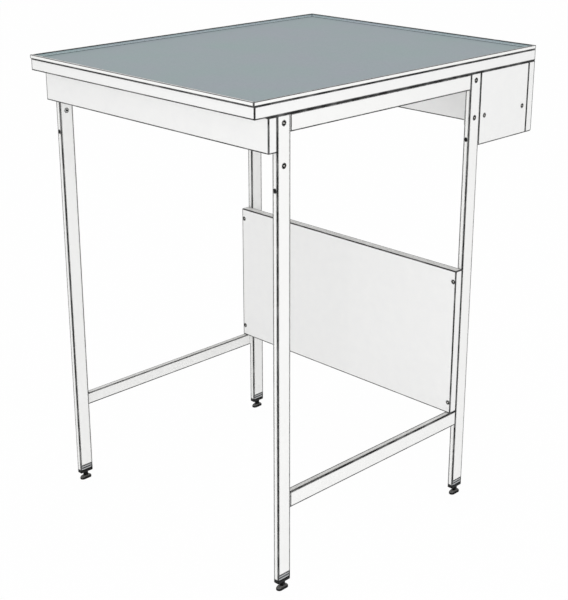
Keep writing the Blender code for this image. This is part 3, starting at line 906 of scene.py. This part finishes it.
bead_points = []
bead_edges = []
for side, sign in SIDES:
    for member in ("top_rail", "stretcher"):
        low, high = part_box(f"{side}_{member}")
        outer_x, inner_x = (high.x, low.x) if sign > 0 else (low.x, high.x)
        web_x = outer_x - sign * ANGLE_THICK
        flange_z = high.z - ANGLE_THICK
        for end_y in (low.y, high.y):
            start = len(bead_points)
            bead_points += [
                (inner_x + sign * BEAD_RADIUS, end_y, flange_z),
                (web_x, end_y, flange_z),
                (web_x, end_y, low.z + BEAD_RADIUS),
            ]
            bead_edges += [(start, start + 1), (start + 1, start + 2)]

weld_beads = grown(
    "weld_beads",
    bead_tree(),
    plain_object("weld_paths", bead_points, bead_edges),
    {
        "Bead Radius": BEAD_RADIUS,
        "Ripple Pitch": BEAD_RIPPLE,
        "Ripple Share": BEAD_SWELL,
        "Corner Radius": BEAD_RADIUS,
        "Step": BEAD_RIPPLE / RIPPLE_STEPS,
        "Material": powder_coat("powder_coated_weld", cornered=False),
    },
    CRISP_BEAD,
)
place_piece(weld_beads, "bench")


# Feet

ROUND_POINTS = 48
THREAD_ROWS = 6
CREST_GAIN = 1.35
CREST_CUT = 0.15
EASE_STEPS = 4
DOME_STEPS = 10
BALL_STEPS = 14
TURNS = [2 * math.pi * (i + 0.5) / ROUND_POINTS for i in range(ROUND_POINTS)]


def ring_at(radius, z):
    return [(radius * math.cos(t), radius * math.sin(t), z) for t in TURNS]


def hex_at(flats, z):
    loop = []
    for turn in TURNS:
        off = (turn + math.pi / 6) % (math.pi / 3) - math.pi / 6
        reach = flats / 2 / math.cos(off)
        loop.append((reach * math.cos(turn), reach * math.sin(turn), z))
    return loop


def stadium_at(half_x, half_y, z):
    """A loop with straight long sides and round ends, lying along Y."""
    loop = []
    for turn in TURNS:
        end = math.copysign(half_y - half_x, math.sin(turn))
        loop.append((half_x * math.cos(turn), half_x * math.sin(turn) + end, z))
    return loop


def rounded_at(half_x, half_y, radius, z):
    """A rectangle with round corners, a quarter of the points to each."""
    per_corner = ROUND_POINTS // 4
    loop = []
    for corner, (sx, sy) in enumerate(((1, 1), (-1, 1), (-1, -1), (1, -1))):
        for step in range(per_corner):
            turn = math.pi / 2 * (corner + step / (per_corner - 1))
            x = sx * (half_x - radius) + radius * math.cos(turn)
            y = sy * (half_y - radius) + radius * math.sin(turn)
            loop.append((x, y, z))
    return loop


def form_of(loops, start_cap=True, end_cap=True, ring=False):
    """Points and faces of a skin over loops of equal length, closed by caps or, as a ring, on itself."""
    count = len(loops[0])
    if ring:
        loops = loops + loops[:1]
        start_cap = end_cap = False
    points = [p for loop in loops for p in loop]
    faces = []
    if start_cap:
        faces.append(tuple(range(count)))
    if end_cap:
        faces.append(tuple(range(len(points) - count, len(points))))
    for row in range(len(loops) - 1):
        for i in range(count):
            j = (i + 1) % count
            low = row * count
            faces.append((low + i, low + j, low + count + j, low + count + i))
    return points, faces


def thread_form(bottom, top):
    """Points and faces of a right-hand thread, without caps. Its rows climb one pitch in each turn, and
    fade to the root at both ends, where they lie on level rings."""
    root = THREAD_RADIUS - THREAD_DEPTH
    turns = math.ceil((top - bottom) / THREAD_PITCH)
    rows = (turns + 1) * THREAD_ROWS
    points = []
    faces = []
    for row in range(rows + 1):
        phase = row / THREAD_ROWS
        crest = 1 - abs(2 * (phase % 1) - 1)
        flat_crest = min(max(CREST_GAIN * crest - CREST_CUT, 0), 1)
        for i in range(ROUND_POINTS):
            share = i / ROUND_POINTS
            z = bottom + (phase - 1 + share) * THREAD_PITCH
            inside = min(z - bottom, top - z) / (THREAD_PITCH / 2)
            fade = min(max(inside, 0), 1)
            reach = root + THREAD_DEPTH * flat_crest * fade
            level = min(max(z, bottom), top)
            points.append((reach * math.cos(TURNS[i]), reach * math.sin(TURNS[i]), level))
    for row in range(rows):
        for i in range(ROUND_POINTS):
            here = row * ROUND_POINTS + i
            above = here + ROUND_POINTS
            if i + 1 < ROUND_POINTS:
                faces.append((here, here + 1, above + 1, above))
            elif row + THREAD_ROWS + 1 <= rows:
                beside = (row + THREAD_ROWS) * ROUND_POINTS
                faces.append((here, beside, beside + ROUND_POINTS, above))
    return points, faces


def joined(name, forms, at, material, degrees=CRISP):
    """One closed mesh from forms that share their end rings, set down at a place."""
    form = bmesh.new()
    for points, faces in forms:
        made = [form.verts.new(Vector(p) + Vector(at)) for p in points]
        for face in faces:
            form.faces.new([made[i] for i in face])
    bmesh.ops.remove_doubles(form, verts=form.verts, dist=WELD_REACH)
    bmesh.ops.dissolve_degenerate(form, edges=form.edges, dist=WELD_REACH)
    bmesh.ops.recalc_face_normals(form, faces=form.faces)
    mesh = bpy.data.meshes.new(name)
    form.to_mesh(mesh)
    form.free()
    mesh.materials.append(material)
    smooth(mesh, degrees)
    return shown(name, mesh)


def arc(first, last, steps):
    """Angles in radians from one to another, both given in degrees."""
    return [math.radians(first + (last - first) * i / steps) for i in range(steps + 1)]


pad_low, pad_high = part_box(FEET[0] + "_foot_pad")
pad_top = pad_high.z
stud_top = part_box(FEET[0] + "_foot_stud")[1].z
ball_z = PAD_FLOOR + BALL_RADIUS + GAP
collar_low = pad_top + GAP
collar_high = collar_low + COLLAR_HEIGHT
thread_end = stud_top - THREAD_DEPTH
root_radius = THREAD_RADIUS - THREAD_DEPTH

neck_turn = math.degrees(math.acos(NECK_RADIUS / BALL_RADIUS))
stud_loops = [
    ring_at(BALL_RADIUS * math.cos(t), ball_z + BALL_RADIUS * math.sin(t))
    for t in arc(BALL_LOW, neck_turn, BALL_STEPS)
]
stud_loops += [
    ring_at(NECK_RADIUS, collar_low),
    ring_at(COLLAR_FLATS / 2 - COLLAR_CHAMFER / 2, collar_low),
    hex_at(COLLAR_FLATS, collar_low + COLLAR_CHAMFER),
    hex_at(COLLAR_FLATS, collar_high - COLLAR_CHAMFER),
    ring_at(COLLAR_FLATS / 2 - COLLAR_CHAMFER / 2, collar_high),
    ring_at(root_radius, collar_high),
]
tip_loops = [ring_at(root_radius, thread_end), ring_at(root_radius - THREAD_DEPTH, stud_top)]
stud_forms = [
    form_of(stud_loops, end_cap=False),
    thread_form(collar_high, thread_end),
    form_of(tip_loops, start_cap=False),
]

socket_radius = BALL_RADIUS + GAP
mouth_radius = NECK_RADIUS + GAP
mouth_turn = math.degrees(math.acos(mouth_radius / socket_radius))
pad_x = (pad_high.x - pad_low.x) / 2
pad_y = (pad_high.y - pad_low.y) / 2
pad_loops = []
for inner, outer in TREAD_RINGS:
    for share, z in (
        (inner, 0),
        (inner + TREAD_SLOPE, TREAD_DEPTH),
        (outer, TREAD_DEPTH),
        (outer + TREAD_SLOPE, 0),
    ):
        pad_loops.append(stadium_at(pad_x * share, pad_y * share, z))
for t in arc(-90, 0, EASE_STEPS):
    inset = PAD_EASE * (1 - math.cos(t))
    pad_loops.append(stadium_at(pad_x - inset, pad_y - inset, PAD_EASE * (1 + math.sin(t))))
for t in arc(0, 90, DOME_STEPS):
    half_x = CROWN_X + (pad_x - CROWN_X) * math.cos(t)
    half_y = CROWN_Y + (pad_y - CROWN_Y) * math.cos(t)
    pad_loops.append(stadium_at(half_x, half_y, PAD_SIDE + (pad_top - PAD_SIDE) * math.sin(t)))
pad_loops.append(ring_at(mouth_radius, pad_top))
pad_loops += [
    ring_at(socket_radius * math.cos(t), ball_z + socket_radius * math.sin(t))
    for t in arc(mouth_turn, BALL_LOW, BALL_STEPS)
]
pad_forms = [form_of(pad_loops)]

plug_low, plug_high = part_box(FEET[0] + "_leg_plug")
plug_x = (plug_high.x - plug_low.x) / 2
plug_y = (plug_high.y - plug_low.y) / 2
flange_top = plug_low.z + FLANGE_THICK
core_x = plug_x - LEG_WALL - GAP
core_y = plug_y - LEG_WALL - GAP
bore = THREAD_RADIUS + GAP
plug_loops = []
for t in arc(-90, 0, EASE_STEPS):
    inset = FLANGE_EASE * (1 - math.cos(t))
    z = plug_low.z + FLANGE_EASE * (1 + math.sin(t))
    plug_loops.append(rounded_at(plug_x - inset, plug_y - inset, LEG_RADIUS, z))
plug_loops += [
    rounded_at(plug_x, plug_y, LEG_RADIUS, flange_top),
    rounded_at(core_x, core_y, LEG_RADIUS, flange_top),
    rounded_at(core_x, core_y, LEG_RADIUS, plug_high.z - LEG_RADIUS),
    rounded_at(core_x - GAP, core_y - LEG_RADIUS, LEG_RADIUS, plug_high.z),
    ring_at(bore, plug_high.z),
    ring_at(bore, plug_low.z),
]
plug_forms = [form_of(plug_loops, ring=True)]

# Two grip plates round each plug, seen through the notches in its leg

PLATE_SIZES = ("Path Width", "Path Depth", "Plate Height", "Plate Bite", "Corner Radius", "Edge Radius")


def plate_tree():
    """A flat ring with round corners, level at each point of the carrier."""
    tree, given = new_tree("grip_plate", PLATE_SIZES)
    path = add(
        tree,
        "GeometryNodeCurvePrimitiveQuadrilateral",
        {"Width": given["Path Width"], "Height": given["Path Depth"]},
    )
    eased = add(
        tree,
        "GeometryNodeFilletCurve",
        {"Curve": path, "Count": PLATE_TURN_STEPS, "Radius": given["Corner Radius"]},
        mode="POLY",
    )
    section = add(
        tree,
        "GeometryNodeCurvePrimitiveQuadrilateral",
        {"Width": given["Plate Bite"], "Height": given["Plate Height"]},
    )
    soft = add(
        tree,
        "GeometryNodeFilletCurve",
        {"Curve": section, "Count": PLATE_EDGE_STEPS, "Radius": given["Edge Radius"]},
        mode="POLY",
    )
    plate = add(tree, "GeometryNodeCurveToMesh", {"Curve": eased, "Profile Curve": soft})
    laid = add(
        tree,
        "GeometryNodeInstanceOnPoints",
        {"Points": given["Geometry"], "Instance": plate},
    )
    close_tree(tree, given, laid)
    return tree


plate_pitch = NOTCH_HEIGHT / PLATE_COUNT
plate_bite = LEG_WALL + GAP
plate_places = []
for foot in FEET:
    axis = middle(foot + "_leg_plug")
    for i in range(PLATE_COUNT):
        plate_places.append((axis.x, axis.y, flange_top + (i + 0.5) * plate_pitch))
grip_plates = grown(
    "grip_plates",
    plate_tree(),
    plain_object("plate_places", plate_places),
    {
        "Path Width": 2 * (plug_x - GAP) - plate_bite,
        "Path Depth": 2 * (core_y - GAP) - plate_bite,
        "Plate Height": plate_pitch * (1 - GROOVE_SHARE),
        "Plate Bite": plate_bite,
        "Corner Radius": LEG_RADIUS,
        "Edge Radius": PLATE_EDGE,
        "Material": spring_steel(),
    },
)
place_piece(grip_plates, "bench")

for foot in FEET:
    axis = middle(foot + "_leg_plug")
    at = (axis.x, axis.y, 0)
    plug = joined(foot + "_flanged_plug", plug_forms, at, FINISHES["black_plastic"])
    place_piece(plug, "bench", [foot + "_leg_plug"])
    stud = joined(foot + "_threaded_stud", stud_forms, at, FINISHES["blackened_steel"])
    place_piece(stud, foot + "_stud", [foot + "_foot_stud"])
    pad = joined(foot + "_moulded_pad", pad_forms, at, FINISHES["black_rubber"], CRISP_PAD)
    place_piece(pad, foot + "_pad", [foot + "_foot_pad"])


# Studio

FLOOR_SIDE = 60.0

# The floor lies just below the pads' lowest setting, so that they show at every setting
FLOOR_DROP = 15.2 * MM
FLOOR_WHITE = 0.97
AMBIENT = 0.86
CAMERA_AT = (1.7368, -1.7352, 1.3181)
CAMERA_ROUND = 45.08
CAMERA_ABOVE = 19.41
FILM_WIDTH = 36.0
LENS = 78.06
SHIFT = (-0.0048, -0.0447)

# Each lamp's place, the point that it is turned to, its side in metres and its power in watts
LAMPS = (
    ("front_softbox", (2.9, -2.9, 1.2), (0, 0, 0.5), 2.0, 42),
    ("overhead_softbox", (0.3, -0.3, 3.6), (0, 0, 0.9), 2.0, 8),
)


def seen_directly(tree):
    """1 for rays that the camera, a gloss or a glass sends, 0 for the rest."""
    path = add(tree, "ShaderNodeLightPath").outputs
    sent = {0: path["Is Camera Ray"], 1: path["Is Glossy Ray"]}
    first = add(tree, "ShaderNodeMath", sent, operation="ADD")
    glass = {0: first, 1: path["Is Transmission Ray"]}
    return add(tree, "ShaderNodeMath", glass, operation="ADD", use_clamp=True)


def studio_floor():
    """A pale matt floor that keeps the shadow and shows white to the camera."""
    made = bpy.data.materials.new("pale_studio_floor")
    made.use_nodes = True
    tree = made.node_tree
    tree.nodes.clear()
    matt = add(tree, "ShaderNodeBsdfDiffuse", {"Color": tone("#F2F2F2")})
    white = add(tree, "ShaderNodeEmission", {"Color": tone("#FFFFFF"), "Strength": 1.0})
    share = add(tree, "ShaderNodeMath", {0: seen_directly(tree), 1: FLOOR_WHITE}, operation="MULTIPLY")
    mixed = add(tree, "ShaderNodeMixShader", {0: share, 1: matt, 2: white})
    add(tree, "ShaderNodeOutputMaterial", {"Surface": mixed})
    return made


reach = FLOOR_SIDE / 2
corners = [(-reach, -reach), (reach, -reach), (reach, reach), (-reach, reach)]
floor = plain_object("floor", [(x, y, -FLOOR_DROP) for x, y in corners], faces=[(0, 1, 2, 3)])
floor.data.materials.append(studio_floor())

scene = bpy.context.scene
world = bpy.data.worlds.new("soft_daylight")
scene.world = world
world.use_nodes = True
sky = world.node_tree
level = add(
    sky,
    "ShaderNodeMapRange",
    {"Value": seen_directly(sky), "To Min": AMBIENT, "To Max": 1.0},
)
wire(sky, sky.nodes["Background"], {"Color": tone("#FFFFFF"), "Strength": level})

for name, at, aim, size, power in LAMPS:
    light = bpy.data.lights.new(name, "AREA")
    light.size = size
    light.energy = power
    lamp = bpy.data.objects.new(name, light)
    lamp.location = at
    lamp.rotation_euler = (Vector(aim) - Vector(at)).to_track_quat("-Z", "Y").to_euler()
    scene.collection.objects.link(lamp)

lens = bpy.data.cameras.new("view")
lens.sensor_width = FILM_WIDTH
lens.lens = LENS
lens.shift_x, lens.shift_y = SHIFT
camera = bpy.data.objects.new("view", lens)
camera.location = CAMERA_AT
camera.rotation_euler = (math.radians(90 - CAMERA_ABOVE), 0, math.radians(CAMERA_ROUND))
scene.collection.objects.link(camera)
scene.camera = camera
scene.view_settings.view_transform = "Standard"
